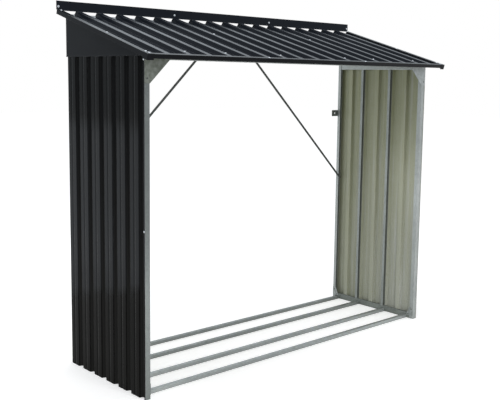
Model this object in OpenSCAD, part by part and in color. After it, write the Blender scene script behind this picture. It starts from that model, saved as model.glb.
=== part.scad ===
// Open log store: two ribbed sheet side walls on a light steel frame, a lean-to
// ribbed sheet roof, four floor rails, no front wall and no rear wall.
// X runs along the length, +Y to the rear, +Z up. The origin is on the ground,
// in the middle of the length and of the roof's plan depth.

/* [Store] */
// Width over the outer faces of the side walls
store_w = 2300; // [1800:10:2800]
// Depth over the corner posts
store_d = 768; // [640:4:1000]
// Height of the side walls up to the lower edge of the gable panels
wall_h = 1780; // [1500:10:2100]
// Slope of the roof in degrees
roof_slope = 16; // [10:0.5:22]

/* [Roof] */
// Reach of the roof sheets past each side wall
side_overhang = 56; // [40:1:90]
// Plan reach of the roof past the front posts
front_overhang = 118; // [60:1:180]
// Plan reach of the roof past the rear posts
rear_overhang = 4; // [4:0.5:40]
// Height of each gable panel at its front end
gable_front_h = 16; // [12:1:60]
// Overlap of the gable panels on the wall panels
gable_lap = 10; // [5:1:11]
// Height of the verge trims' side faces
verge_h = 24; // [23:1:45]
// Width of the verge trims' top lips
verge_lip = 30; // [8:1:45]
// Height of the fascia's front face
fascia_h = 23; // [23:1:45]
// Depth of the fascia's top lip
fascia_lip = 22; // [8:1:35]
// Depth of the fascia's flange under the roof sheets
fascia_flange = 84; // [30:1:95]
// Reach of the corner caps along the fascia and along the verge
cap_w = 40; // [25:1:70]
// Height of the corner caps
cap_h = 32; // [26:1:50]
// Height of the rear flashing's upright face
flashing_h = 49; // [30:1:90]
// Depth of the rear flashing's foot
flashing_foot = 18; // [10:1:30]

/* [Ribbed sheet] */
// Thickness of the sheets and folded trims
sheet_t = 1; // [0.8:0.1:1.5]
// Height of a rib
rib_h = 20; // [14:0.5:24]
// Width of a rib over its flat top
rib_top = 32; // [24:1:36]
// Width of a rib at its foot
rib_base = 46; // [40:1:56]
// Width of the shallow crease in the middle of each flat
crease_w = 18; // [12:1:24]
// Rise of the shallow crease
crease_h = 1.8; // [0.8:0.1:2.4]
// Pitches in each roof panel
panel_pitches = 6; // [5:1:7]
// Flat strip from the front posts' faces to a wall's first rib
wall_lip = 8; // [7:0.5:12]
// Reach of the wall and gable panels in front of the front posts
wall_nose = 2; // [1:1:18]
// Distance past a wall's rear edge to the middle of its last, cut rib
wall_tail = 10; // [4:1:11]

/* [Frame] */
// Wall thickness of the folded steel sections
steel_t = 1.5; // [1:0.1:2.5]
// Depth of a corner post and of a roof beam
post_d = 30; // [24:1:40]
// Depth of a stud's flanges along the wall
stud_d = 30; // [22:1:40]
// Thickness of a stud, rear post, sole rail or top rail across the wall
stud_w = 13; // [10:0.5:16]
// Height of the sole rails
sole_h = 40; // [34:1:60]
// Height of the top rails
top_rail_h = 30; // [20:1:45]
// Height of the roof beams at their front faces
beam_h = 34; // [28:1:50]
// Width of a floor rail
rail_w = 30; // [20:1:45]
// Height of a floor rail
rail_h = 21; // [15:1:28]
// Distance from the front posts' faces to the middle of the front floor rail
rail_front_inset = 72; // [46:1:90]
// Distance from the rear posts' faces to the middle of the rear floor rail
rail_rear_inset = 50; // [46:1:110]
// Distance between the middles of the two middle floor rails
rail_mid_gap = 246; // [60:1:300]

/* [Plates and braces] */
// Thickness of the gussets, braces and wall brackets
plate_t = 2; // [1.5:0.1:3]
// Width of a front gusset
gusset_w = 175; // [100:1:240]
// Height of a front gusset
gusset_h = 150; // [90:1:240]
// Height of a front gusset's short inner edge
gusset_edge = 12; // [5:1:30]
// Reach of a foot gusset along the sole rail
foot_gusset_d = 52; // [40:1:80]
// Height of a foot gusset's top above the sole rail
foot_gusset_rise = 44; // [25:1:80]
// Width of a rear brace
brace_w = 16; // [12:1:30]
// Height of a brace's lower fixing
brace_low = 940; // [500:10:1300]
// Distance between the upper fixings of the two braces
brace_gap = 100; // [75:1:200]
// Length of a brace past its fixings
brace_end = 10; // [6:1:14]
// Height of the wall brackets' fixing holes
bracket_z = 1425; // [1000:5:1700]
// Height of a wall bracket
bracket_h = 46; // [30:1:70]
// Reach of a wall bracket past its post
bracket_reach = 62; // [40:1:100]
// Diameter of the fixing hole in a wall bracket
bracket_hole_d = 9; // [6:0.5:14]

/* [Hidden] */
$fn = 48;
wall_rib_count = 7;
front_stud_rib = 2;
rear_stud_rib = 4;
roof_panel_count = 3;
clearance = 1;
cut = 1;

sheet_depth = rib_h + sheet_t;
flank_run = (rib_base - rib_top) / 2 / rib_h;
fold_inset = sheet_t * (sqrt(1 + flank_run * flank_run) - flank_run);
crease_flat = crease_w / 2;

wall_x = store_w / 2;
crest_x = wall_x - sheet_depth;
post_x = wall_x - sheet_t;
stud_x = crest_x - stud_w;
post_w = post_x - stud_x;
wall_pitch = (store_d + wall_tail - wall_lip - rib_base / 2) / (wall_rib_count - 1);
wall_ribs = [for (i = [0 : wall_rib_count - 1]) wall_lip + rib_base / 2 + i * wall_pitch];

roof_x = wall_x + side_overhang;
rib_pitch = 2 * roof_x / (roof_panel_count * panel_pitches);
roof_ribs = [for (i = [0 : roof_panel_count * panel_pitches]) i * rib_pitch - roof_x];
lip_top = sheet_depth + sheet_t;
cap_top = lip_top + sheet_t;

roof_d = store_d + front_overhang + rear_overhang;
front_y = front_overhang - roof_d / 2;
rear_y = front_y + store_d;
eave_lean = cap_top * sin(roof_slope) + 2 * sheet_t * cos(roof_slope);
eave_y = eave_lean - roof_d / 2;
eave_z = wall_h + gable_front_h - (front_y - eave_y) * tan(roof_slope);
verge_lean = max(0, verge_h - lip_top) * sin(roof_slope);
roof_len = (roof_d / 2 - verge_lean - eave_y) / cos(roof_slope);

front_post_h = roof_under(front_y) - beam_h;
rear_post_h = roof_under(rear_y - post_d) - beam_h;
mid_beam_y = (front_y + rear_y - post_d) / 2;
wall_panel_h = wall_h + gable_lap;
rail_run = store_d - rail_front_inset - rail_rear_inset;
rail_places = [0, (rail_run - rail_mid_gap) / 2, (rail_run + rail_mid_gap) / 2, rail_run];

sheet_colour = "#2b2e33";
trim_colour = "#24272b";
steel_colour = "#8a908c";
strap_colour = "#454a48";

// Height of the underside of the roof's flats at a place along Y
function roof_under(y) = eave_z + (y - eave_y) * tan(roof_slope);

// Point in the Y and Z plane, from a run up the slope and a rise off it
function on_slope(run, rise) = [
    eave_y + run * cos(roof_slope) - rise * sin(roof_slope),
    eave_z + run * sin(roof_slope) + rise * cos(roof_slope)
];

// Corners of one rib and of the crease in the flat after it
function rib_corners(c, pitch, inset) = [
    [c - rib_base / 2 + inset, 0],
    [c - rib_top / 2 + inset, rib_h],
    [c + rib_top / 2 - inset, rib_h],
    [c + rib_base / 2 - inset, 0],
    [c + (pitch - crease_w) / 2, 0],
    [c + (pitch - crease_flat) / 2, crease_h],
    [c + (pitch + crease_flat) / 2, crease_h],
    [c + (pitch + crease_w) / 2, 0]
];

// Rise of a sheet at its edge, on a rib's top or on a flat
function edge_rise(x, ribs) = min([for (c = ribs) abs(x - c)]) < rib_top / 2 ? rib_h : 0;

// One face of a sheet from edge to edge, its points in order
function sheet_line(from, to, ribs, pitch, inset, lift) = [
    [from, edge_rise(from, ribs) + lift],
    for (c = ribs)
        for (p = rib_corners(c, pitch, inset))
            if (p.x > from && p.x < to) [p.x, p.y + lift],
    [to, edge_rise(to, ribs) + lift]
];

function turned(list) = [for (i = [len(list) - 1 : -1 : 0]) list[i]];

// Ribbed sheet seen from its end, with the ribs upwards
module sheet_end(from, to, ribs, pitch) {
    upper = sheet_line(from, to, ribs, pitch, 0, sheet_t);
    lower = sheet_line(from, to, ribs, pitch, fold_inset, 0);
    polygon(concat(lower, turned(upper)));
}

// Mirrors a right-hand piece to the left
module at_left() {
    mirror([1, 0, 0]) children();
}

// Frame of the roof: X along the eave, Y up the slope, Z off the roof
module on_roof() {
    translate([0, eave_y, eave_z]) rotate([roof_slope, 0, 0]) children();
}

// Section in X and Z, run along Y from a place to another
module along_y(from, to) {
    translate([0, to, 0]) rotate([90, 0, 0]) linear_extrude(to - from) children();
}

// Section in Y and Z, run along X from a place to another
module along_x(from, to) {
    translate([from, 0, 0]) rotate([90, 0, 90]) linear_extrude(to - from) children();
}

// Inverted channel that runs between the sole rails
module floor_rail(index) {
    middle = front_y + rail_front_inset + rail_places[index];
    color(steel_colour) along_x(-stud_x, stud_x) difference() {
        translate([middle - rail_w / 2, 0]) square([rail_w, rail_h]);
        translate([middle - rail_w / 2 + steel_t, -cut])
            square([rail_w - 2 * steel_t, rail_h - steel_t + cut]);
    }
}

// Channel along a side wall between the posts, open towards the wall
module wall_rail(low, height) {
    color(steel_colour) along_y(front_y + post_d, rear_y - post_d) difference() {
        translate([stud_x, low]) square([stud_w, height]);
        translate([stud_x + steel_t, low + steel_t])
            square([stud_w, height - 2 * steel_t]);
    }
}

module sole_rail() {
    wall_rail(0, sole_h);
}

module top_rail() {
    wall_rail(wall_h - top_rail_h, top_rail_h);
}

// Front corner post, with a short lip where the wall's first rib leaves room
module front_post() {
    color(steel_colour) linear_extrude(front_post_h) {
        translate([post_x - post_w, front_y]) square([post_w, steel_t]);
        translate([post_x - post_w, front_y]) square([steel_t, post_d]);
        translate([post_x - steel_t, front_y]) square([steel_t, wall_lip - clearance]);
    }
}

// Upright channel on a wall's rib, open to the front
module upright(y, depth, low, high) {
    color(steel_colour) translate([stud_x, y, low]) linear_extrude(high - low) difference() {
        square([stud_w, depth]);
        translate([steel_t, -cut]) square([stud_w - 2 * steel_t, depth - steel_t + cut]);
    }
}

module rear_post() {
    upright(rear_y - post_d, post_d, 0, rear_post_h);
}

module stud(rib) {
    upright(front_y + wall_ribs[rib] - stud_d / 2, stud_d, sole_h, wall_h - top_rail_h);
}

// Roof beam with a sloping top, open to the rear
module beam(half_length, y, low) {
    rear = y + post_d;
    color(steel_colour) along_x(-half_length, half_length) difference() {
        polygon([[y, low], [rear, low], [rear, roof_under(rear)], [y, roof_under(y)]]);
        polygon([
            [y + steel_t, low + steel_t],
            [rear + cut, low + steel_t],
            [rear + cut, roof_under(rear + cut) - steel_t],
            [y + steel_t, roof_under(y + steel_t) - steel_t]
        ]);
    }
}

module front_beam() {
    beam(crest_x, front_y, front_post_h);
}

module mid_purlin() {
    beam(wall_x, mid_beam_y, roof_under(mid_beam_y) - beam_h);
}

module rear_beam() {
    beam(wall_x, rear_y - post_d, rear_post_h);
}

// Wall panel between two places along the wall, ribs inwards
module wall_panel(from, to) {
    color(sheet_colour) translate([wall_x, front_y, 0]) rotate([0, 0, 90])
        linear_extrude(wall_panel_h) sheet_end(from, to, wall_ribs, wall_pitch);
}

module front_wall_panel() {
    wall_panel(-wall_nose, wall_ribs[front_stud_rib]);
}

module middle_wall_panel() {
    wall_panel(wall_ribs[front_stud_rib], wall_ribs[rear_stud_rib]);
}

module rear_wall_panel() {
    wall_panel(wall_ribs[rear_stud_rib], store_d);
}

// Flat panel under the roof's side edge, lapped over the wall panels
module gable_panel() {
    nose_y = front_y - wall_nose;
    color(sheet_colour) along_x(wall_x, wall_x + sheet_t) polygon([
        [nose_y, wall_h],
        [rear_y, wall_h],
        [rear_y, roof_under(rear_y)],
        [nose_y, roof_under(nose_y)]
    ]);
}

// Roof panel between two ribs, counted from the left edge
module roof_panel(index) {
    first = index * panel_pitches;
    color(sheet_colour) on_roof() along_y(0, roof_len)
        sheet_end(roof_ribs[first], roof_ribs[first + panel_pitches], roof_ribs, rib_pitch);
}

// Edge trim over the roof's last rib, behind the fascia's lip
module verge_trim() {
    color(trim_colour) on_roof() along_y(fascia_lip, roof_len) {
        translate([roof_x, lip_top - verge_h]) square([sheet_t, verge_h]);
        translate([roof_x - verge_lip, sheet_depth]) square([verge_lip + sheet_t, sheet_t]);
    }
}

// Front trim with a lip on the ribs and a flange under the flats
module front_fascia() {
    half = roof_x + sheet_t;
    color(trim_colour) on_roof() {
        along_x(-half, half) {
            translate([-sheet_t, lip_top - fascia_h]) square([sheet_t, fascia_h]);
            translate([-sheet_t, sheet_depth]) square([fascia_lip + sheet_t, sheet_t]);
        }
        along_x(-roof_x, roof_x)
            translate([-sheet_t, -sheet_t]) square([fascia_flange + sheet_t, sheet_t]);
    }
}

// Upright strip at the roof's rear edge, with a foot on the ribs between the verge lips
module rear_flashing() {
    half = roof_x + sheet_t;
    foot_half = roof_x - verge_lip;
    heel_y = roof_d / 2;
    toe = on_slope(roof_len - flashing_foot, sheet_depth);
    toe_top = on_slope(roof_len - flashing_foot, lip_top);
    heel_z = toe.y + (heel_y - toe.x) * tan(roof_slope);
    heel_top = toe_top.y + (heel_y - toe_top.x) * tan(roof_slope);
    color(trim_colour) {
        along_x(-half, half)
            translate([heel_y - sheet_t, heel_z]) square([sheet_t, flashing_h]);
        along_x(-foot_half, foot_half)
            polygon([toe, [heel_y, heel_z], [heel_y, heel_top], toe_top]);
    }
}

// Cap over the corner of the fascia and the verge trim
module corner_cap() {
    outer = roof_x + 2 * sheet_t;
    color(trim_colour) on_roof() translate([outer - cap_w, -2 * sheet_t, cap_top - cap_h]) {
        cube([cap_w, sheet_t, cap_h]);
        translate([cap_w - sheet_t, 0, 0]) cube([sheet_t, cap_w, cap_h]);
        translate([0, 0, cap_h - sheet_t]) cube([cap_w, cap_w, sheet_t]);
    }
}

// Plate across the corner of a front post and the front beam
module front_gusset() {
    top = front_post_h + beam_h - plate_t - sheet_t;
    low = top - gusset_h;
    color(steel_colour) along_y(front_y - plate_t, front_y) polygon([
        [post_x, top],
        [post_x - gusset_w, top],
        [post_x - gusset_w, top - gusset_edge],
        [post_x - post_w, low],
        [post_x, low]
    ]);
}

// Corner plates between the sole rail and the posts' feet
module foot_gussets() {
    low = rail_h + clearance;
    top = sole_h + foot_gusset_rise;
    color(steel_colour) for (end = [0, 1])
        translate([0, end * (front_y + rear_y), 0]) mirror([0, end, 0])
            along_x(stud_x - plate_t, stud_x) polygon([
                [front_y, low],
                [front_y + foot_gusset_d, low],
                [front_y + foot_gusset_d, sole_h],
                [front_y + post_d, top],
                [front_y, top]
            ]);
}

// Flat bar on the front of the rear frame, from its beam down to its post
module brace() {
    top = [brace_gap / 2, rear_post_h + beam_h / 3];
    foot = [stud_x + stud_w / 2, brace_low];
    run = norm(foot - top);
    lean = atan2(top.y - foot.y, foot.x - top.x);
    color(strap_colour) translate([top.x, rear_y - post_d - plate_t, top.y]) rotate([0, lean, 0])
        translate([-brace_end, 0, -brace_w / 2]) cube([run + 2 * brace_end, plate_t, brace_w]);
}

// Plate on the rear of the post, with a hole to fasten it to a wall behind
module wall_bracket() {
    inner = stud_x - bracket_reach;
    color(strap_colour) difference() {
        translate([inner, rear_y, bracket_z - bracket_h / 2])
            cube([bracket_reach + stud_w, plate_t, bracket_h]);
        translate([inner + bracket_reach / 2, rear_y - cut, bracket_z]) rotate([-90, 0, 0])
            cylinder(d = bracket_hole_d, h = plate_t + 2 * cut);
    }
}

floor_rail(0);  // floor_rail_front
floor_rail(1);  // floor_rail_front_mid
floor_rail(2);  // floor_rail_rear_mid
floor_rail(3);  // floor_rail_rear
at_left() sole_rail();  // left_sole_rail
sole_rail();  // right_sole_rail
at_left() top_rail();  // left_top_rail
top_rail();  // right_top_rail
at_left() front_post();  // left_front_post
front_post();  // right_front_post
at_left() rear_post();  // left_rear_post
rear_post();  // right_rear_post
at_left() stud(front_stud_rib);  // left_front_stud
stud(front_stud_rib);  // right_front_stud
at_left() stud(rear_stud_rib);  // left_rear_stud
stud(rear_stud_rib);  // right_rear_stud
front_beam();
mid_purlin();
rear_beam();
at_left() front_wall_panel();  // left_front_wall_panel
at_left() middle_wall_panel();  // left_middle_wall_panel
at_left() rear_wall_panel();  // left_rear_wall_panel
front_wall_panel();  // right_front_wall_panel
middle_wall_panel();  // right_middle_wall_panel
rear_wall_panel();  // right_rear_wall_panel
at_left() gable_panel();  // left_gable_panel
gable_panel();  // right_gable_panel
roof_panel(0);  // left_roof_panel
roof_panel(1);  // middle_roof_panel
roof_panel(2);  // right_roof_panel
at_left() verge_trim();  // left_verge_trim
verge_trim();  // right_verge_trim
front_fascia();
rear_flashing();
at_left() corner_cap();  // left_corner_cap
corner_cap();  // right_corner_cap
at_left() front_gusset();  // left_front_gusset
front_gusset();  // right_front_gusset
at_left() foot_gussets();  // left_foot_gussets
foot_gussets();  // right_foot_gussets
at_left() brace();  // left_brace
brace();  // right_brace
at_left() wall_bracket();  // left_wall_bracket
wall_bracket();  // right_wall_bracket
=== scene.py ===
"""An open log store: ribbed sheet walls and roof on a light frame of folded steel."""

import math

import bmesh
import bpy
from mathutils import Matrix, Vector


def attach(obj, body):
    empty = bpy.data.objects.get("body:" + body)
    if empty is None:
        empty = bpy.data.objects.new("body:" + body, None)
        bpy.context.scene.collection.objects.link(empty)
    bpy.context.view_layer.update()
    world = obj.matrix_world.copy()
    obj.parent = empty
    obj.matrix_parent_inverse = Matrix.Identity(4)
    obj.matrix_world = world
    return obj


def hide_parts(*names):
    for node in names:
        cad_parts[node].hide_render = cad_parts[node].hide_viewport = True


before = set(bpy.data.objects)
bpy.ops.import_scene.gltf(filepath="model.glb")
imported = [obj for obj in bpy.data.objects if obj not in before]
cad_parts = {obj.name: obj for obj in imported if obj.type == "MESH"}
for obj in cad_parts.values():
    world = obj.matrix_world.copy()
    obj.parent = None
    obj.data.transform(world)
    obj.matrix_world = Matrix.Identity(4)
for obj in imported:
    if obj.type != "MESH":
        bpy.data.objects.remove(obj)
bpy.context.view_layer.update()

# Directions of the store: X along its length, Y to the rear, Z up
ALONG = Vector((1, 0, 0))
REARWARD = Vector((0, 1, 0))
UPWARD = Vector((0, 0, 1))
SIDES = (("left", -1), ("right", 1))
MM = 0.001

# Walls and frame, in metres
WALL_X = 1.150
WALL_H = 1.780
WALL_PANEL_H = 1.790
FRONT_Y = -0.327
REAR_Y = 0.441
CREST_X = 1.129
POST_X = 1.149
STUD_X = 1.116
POST_D = 0.030
STUD_D = 0.030
SOLE_H = 0.040
TOP_RAIL_H = 0.030
BEAM_H = 0.034
RAIL_W = 0.030
RAIL_H = 0.021
RAIL_FRONT_INSET = 0.072
RAIL_REAR_INSET = 0.050
RAIL_MID_GAP = 0.246
RAIL_NAMES = ("front", "front_mid", "rear_mid", "rear")
POST_LIP = 0.007
POST_SHORT = 0.005
STUD_SHORT = 0.008
STEEL_T = 0.0015
STEEL_BEND = 0.0022

# Ribbed sheet
SHEET_T = 0.001
SHEET_BEND = 0.0016
RIB_H = 0.020
RIB_TOP = 0.032
RIB_BASE = 0.046
CREASE_W = 0.018
CREASE_FLAT = 0.009
WALL_CREASE_H = 0.0014
ROOF_CREASE_H = 0.0007
FLANK_RUN = (RIB_BASE - RIB_TOP) / 2 / RIB_H
LAP_RISE = 0.0009
LAP_SPREAD = math.sqrt(1 + FLANK_RUN**2) - FLANK_RUN
LAP_DROP = 0.016
LAP_TUCK = 0.014
WALL_LIP = 0.008
WALL_NOSE = 0.002
WALL_RIB_COUNT = 7
WALL_TAIL = 0.010
STUD_RIBS = (2, 4)
WAVE_H = 0.0006
WAVE_SIZE = 0.24

# Roof
SLOPE = math.radians(16)
ROOF_X = 1.206
ROOF_D = 0.890
ROOF_RIB_COUNT = 19
PANEL_PITCHES = 6
GABLE_FRONT_H = 0.016
GABLE_DRIP = 0.007
GABLE_KICK = 0.0016
LIP_TOP = 0.022
CAP_TOP = 0.023
CAP_W = 0.040
CAP_H = 0.032
VERGE_H = 0.024
VERGE_LIP = 0.030
FASCIA_H = 0.023
FASCIA_LIP = 0.022
FASCIA_FLANGE = 0.084
FLASHING_H = 0.049
FLASHING_FOOT = 0.018
TRIM_BEND = 0.0009
CAP_BEND = 0.0016
HEM = 0.009
HEM_T = 2.2 * SHEET_T
FASCIA_GAP = 0.2 * MM

# Plates, braces and brackets
PLATE_T = 0.002
PLATE_CORNER = 0.003
PLATE_EASE = 0.4 * MM
GUSSET_W = 0.175
GUSSET_H = 0.150
GUSSET_EDGE = 0.012
FOOT_GUSSET_D = 0.052
FOOT_GUSSET_RISE = 0.044
BRACE_W = 0.016
BRACE_LOW = 0.940
BRACE_GAP = 0.100
BRACE_END = 0.010
BRACE_CORNER = 0.45 * BRACE_W
BRACE_CORNER_STEPS = 6
STRAP_EASE = 0.3 * MM
BRACKET_Z = 1.425
BRACKET_H = 0.046
BRACKET_REACH = 0.062
BRACKET_HOLE_D = 0.009
BRACKET_CORNER = 0.005
HOLE_SIDES = 32

# Thickness and bend of what is folded
SHEET = (SHEET_T, SHEET_BEND)
TRIM = (SHEET_T, TRIM_BEND)
STEEL = (STEEL_T, STEEL_BEND)
RAIL_STEEL = (STEEL_T, 2 * STEEL_BEND)

# Values that follow from those
POST_W = POST_X - STUD_X
STUD_W = CREST_X - STUD_X
STORE_D = REAR_Y - FRONT_Y
WALL_PITCH = (STORE_D + WALL_TAIL - WALL_LIP - RIB_BASE / 2) / (WALL_RIB_COUNT - 1)
WALL_RIBS = [WALL_LIP + RIB_BASE / 2 + i * WALL_PITCH for i in range(WALL_RIB_COUNT)]
ROOF_PITCH = 2 * ROOF_X / (ROOF_RIB_COUNT - 1)
ROOF_RIBS = [i * ROOF_PITCH - ROOF_X for i in range(ROOF_RIB_COUNT)]
EAVE_Y = CAP_TOP * math.sin(SLOPE) + 2 * SHEET_T * math.cos(SLOPE) - ROOF_D / 2
EAVE_Z = WALL_H + GABLE_FRONT_H - (FRONT_Y - EAVE_Y) * math.tan(SLOPE)
VERGE_LEAN = (VERGE_H - LIP_TOP) * math.sin(SLOPE)
ROOF_LEN = (ROOF_D / 2 - VERGE_LEAN - EAVE_Y) / math.cos(SLOPE)
UP_SLOPE = Vector((0, math.cos(SLOPE), math.sin(SLOPE)))
OFF_ROOF = Vector((0, -math.sin(SLOPE), math.cos(SLOPE)))
EAVE = Vector((0, EAVE_Y, EAVE_Z))

# Fineness of the meshes, and what counts as sharp, parallel, facing or near
BEND_STEPS = 3
WALL_CUTS = 23
ROOF_CUTS = 13
GABLE_CUTS = 9
VERGE_CUTS = 5
LONG_TRIM_CUTS = 11
FRAME_CUTS = 7
SMOOTH_ANGLE = math.radians(32)
SHARP_ANGLE = math.radians(50)
PARALLEL = 0.99
FACING = 0.5
RUN_RATIO = 10
NEAR = MM / 10


def roof_under(y):
    """Height of the underside of the roof's flats at a place along Y."""
    return EAVE_Z + (y - EAVE_Y) * math.tan(SLOPE)


def on_roof(x, run, rise):
    """Point from a place along the eave, a run up the slope and a rise off it."""
    return EAVE + ALONG * x + UP_SLOPE * run + OFF_ROOF * rise


FRONT_POST_H = roof_under(FRONT_Y) - BEAM_H
REAR_POST_H = roof_under(REAR_Y - POST_D) - BEAM_H
GUSSET_TOP = FRONT_POST_H + BEAM_H - PLATE_T - SHEET_T
MID_BEAM_Y = (FRONT_Y + REAR_Y - POST_D) / 2


# Finishes


# Noise: its scale, detail and roughness
DRIFT_NOISE = (3.4, 3.0, 0.6)
SPECK_NOISE = (210.0, 2.0, 0.6)
STREAK_NOISE = (1.0, 4.0, 0.6)
RUB_NOISE = (70.0, 3.0, 0.65)
PEEL_NOISE = (520.0, 1.0)
CLOUD_NOISE = (6.0, 4.0, 0.62)
SHINE_NOISE = (45.0, 3.0)
GRIT_NOISE = (330.0, 2.0)
FLOOR_NOISE = (1.5, 3.0)

# Parts of a noise's range that a mask spreads out
NOISE_RANGE = (0.3, 0.7)
STREAK_RANGE = (0.5, 0.75)
RUB_RANGE = (0.42, 0.68)
DULL_RANGE = (0.32, 0.7)
SHINE_RANGE = (0.4, 0.65)

# Weather, painted shade and painted light on paint: places in metres, and shares
FACE_RANGE = (WALL_X - 0.008, WALL_X - 0.003)
LEVEL_DRIFT = 0.02
# Painted shade: the walls' outer faces are darker at the foot and under the eaves
FOOT_SHADE_LEAN = 0.26
FOOT_SHADE_RANGE = (0.488, 0.548)
TOP_SHADE_RANGE = (1.37, 1.46)
TOP_SHADE_SHARE = 0.64
# Painted light: the grooves are lighter, most of all low down
GROOVE_LIGHT_RANGE = (0.55, 1.35)
GROOVE_LIGHT_LEAST = 0.22
GROOVE_LIGHT = 0.62
SPLASH_LOW = 0.02
SPLASH_LEAST = 0.25
REAR_RANGE = (-0.12, 0.26)
REAR_DUST = 0.58
STREAK_SCALE = (34.0, 34.0, 1.1)
STREAK_DUST = 0.55
DRIFT_GLOSS = (-0.05, 0.07)
DUST_GLOSS = 0.3
PEEL_RISE = 0.6
SPECK_RISE = 0.4

# Crystals and clouds on zinc
WARP_SCALE = 60.0
WARP_REACH = 0.006
CRYSTAL_TONE = 0.42
CLOUD_TONE = 0.58
SHINE_MOST = 0.7
CRYSTAL_GLOSS = 0.14
CLOUD_GLOSS = (-0.04, 0.1)
CRYSTAL_RISE = 0.5
GRIT_RISE = 0.5

# What most finishes share
COAT_BUMP = 0.12
COAT_BUMP_DEPTH = 0.0004
DUST_REACH = 0.32
ZINC_INDEX = 1.45
ZINC_BUMP = 0.15
ZINC_BUMP_DEPTH = 0.0003
ZINC_CRYSTALS = 115.0
ZINC_SPREAD = 0.36
ZINC_METAL = 0.40


def put(tree, kind, inputs=None, **settings):
    """Adds a node. An input that is a socket is linked, and any other is set."""
    made = tree.nodes.new(kind)
    for key, value in settings.items():
        setattr(made, key, value)
    for key, value in (inputs or {}).items():
        if isinstance(value, bpy.types.NodeSocket):
            tree.links.new(value, made.inputs[key])
        else:
            made.inputs[key].default_value = value
    return made


def work_out(tree, operation, first, second=0.0, third=None):
    """Output of a Math node."""
    inputs = {0: first, 1: second}
    if third is not None:
        inputs[2] = third
    return put(tree, "ShaderNodeMath", inputs, operation=operation).outputs[0]


def product(tree, result, *others):
    """Output of Math nodes that multiply one after another."""
    for other in others:
        result = work_out(tree, "MULTIPLY", result, other)
    return result


def stretch(tree, value, low, high, to_low=0.0, to_high=1.0):
    """Output of a clamped Map Range node."""
    inputs = {"Value": value, "From Min": low, "From Max": high}
    inputs.update({"To Min": to_low, "To Max": to_high})
    return put(tree, "ShaderNodeMapRange", inputs).outputs["Result"]


def blend_colours(tree, mask, first, second):
    """Output of a colour Mix node, with its colours at 6 and 7 and its result at 2."""
    return put(tree, "ShaderNodeMix", {0: mask, 6: first, 7: second}, data_type="RGBA").outputs[2]


def cloud(tree, coords, scale, detail=2.0, rough=0.5):
    """Output of a Noise node."""
    inputs = {"Vector": coords, "Scale": scale, "Detail": detail, "Roughness": rough}
    return put(tree, "ShaderNodeTexNoise", inputs).outputs["Fac"]


def new_group(name, colours, values):
    """Empty node group with the outputs that every finish reads."""
    tree = bpy.data.node_groups.new(name, "ShaderNodeTree")
    for label in colours:
        tree.interface.new_socket(label, in_out="INPUT", socket_type="NodeSocketColor")
    for label in values:
        tree.interface.new_socket(label, in_out="INPUT", socket_type="NodeSocketFloat")
    tree.interface.new_socket("Colour", in_out="OUTPUT", socket_type="NodeSocketColor")
    for label in ("Roughness", "Height"):
        tree.interface.new_socket(label, in_out="OUTPUT", socket_type="NodeSocketFloat")
    return tree, put(tree, "NodeGroupInput").outputs, put(tree, "NodeGroupOutput").inputs


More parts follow.
